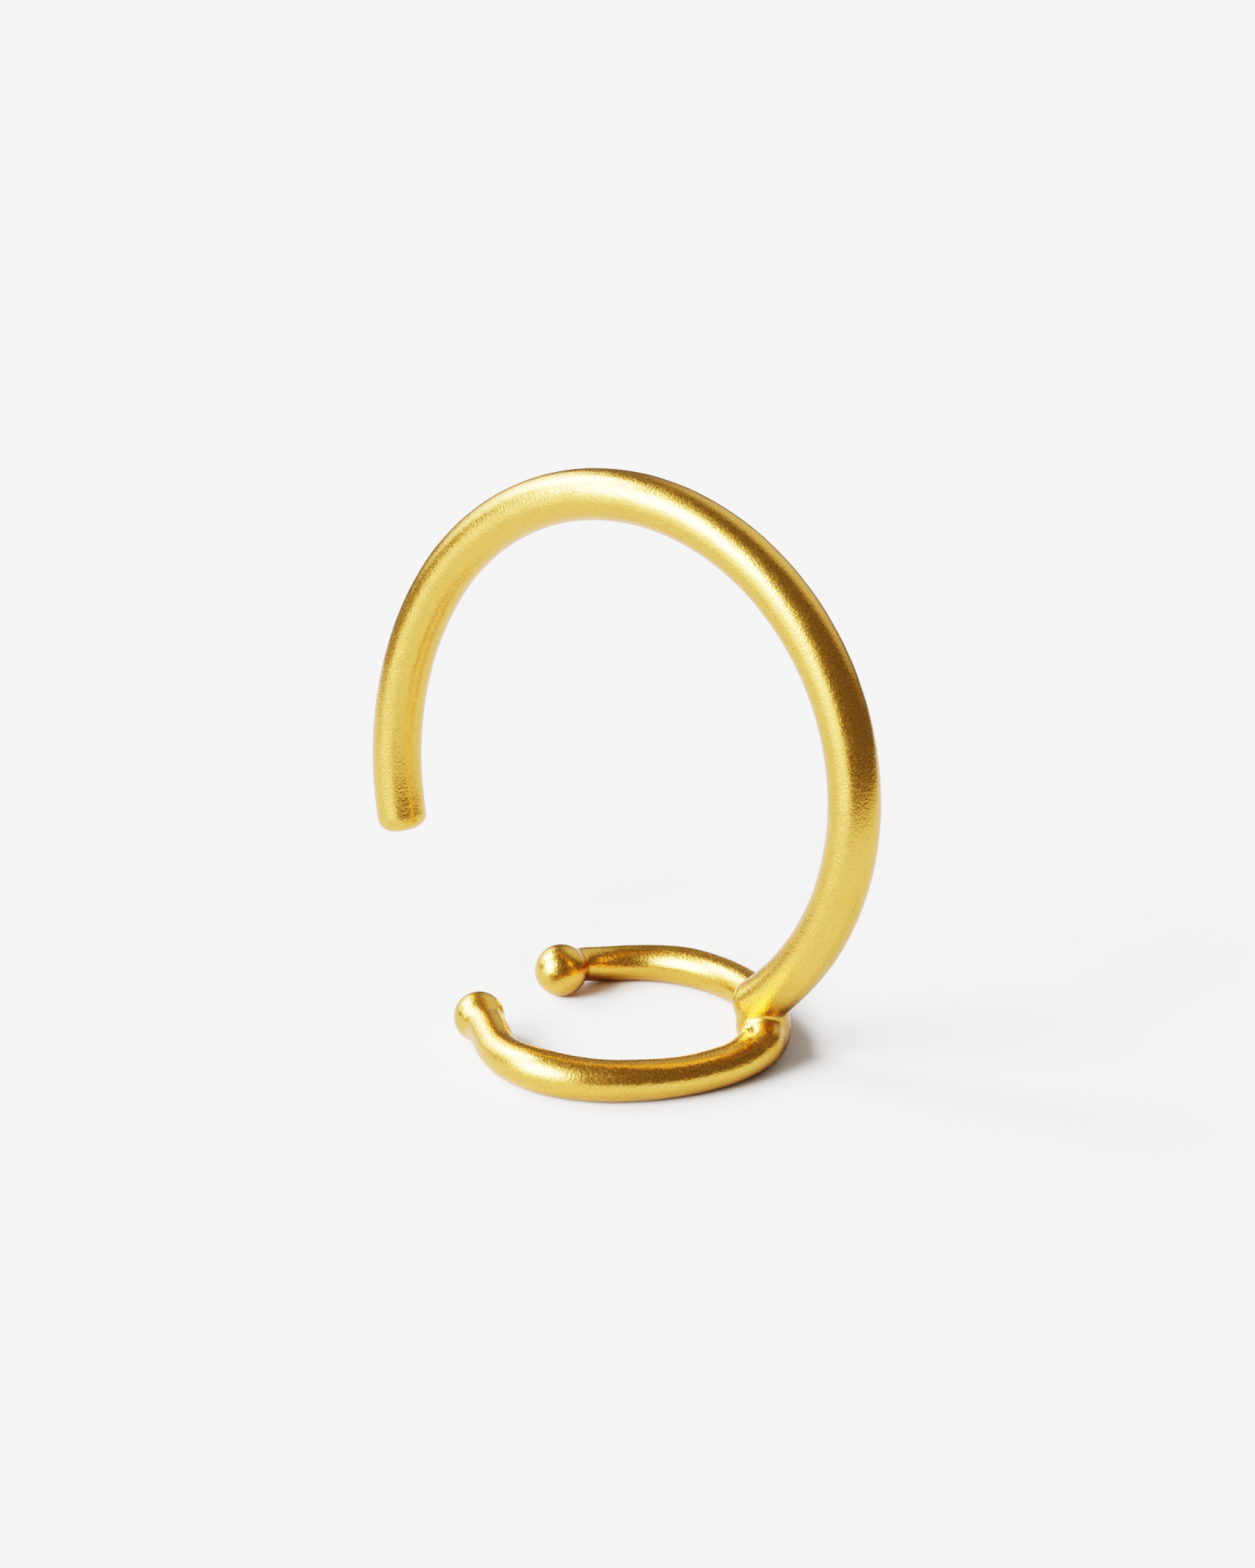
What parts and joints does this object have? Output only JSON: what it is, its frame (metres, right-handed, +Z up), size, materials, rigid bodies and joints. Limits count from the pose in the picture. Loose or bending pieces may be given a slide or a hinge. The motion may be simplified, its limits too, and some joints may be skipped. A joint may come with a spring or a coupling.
{
  "type": "nose pin",
  "caption": "Open wire hoop soldered by its foot on a small open clip ring with ball ends, in satin yellow gold, worn as a nose pin.",
  "frame": {"origin": "on the ground, at the bottom centre of the bounding box of the pin as it stands on its clip ring", "axes": "+Z up; +X along the hoop's width, from its free end towards its soldered foot; +Y across the hoop, to the side it leans to"},
  "size_m": [0.0118, 0.0062, 0.0109],
  "materials": {
    "gold": "satin yellow gold plating"
  },
  "bodies": {
    "root": {"nose_pin": "gold"}
  },
  "joints": []
}
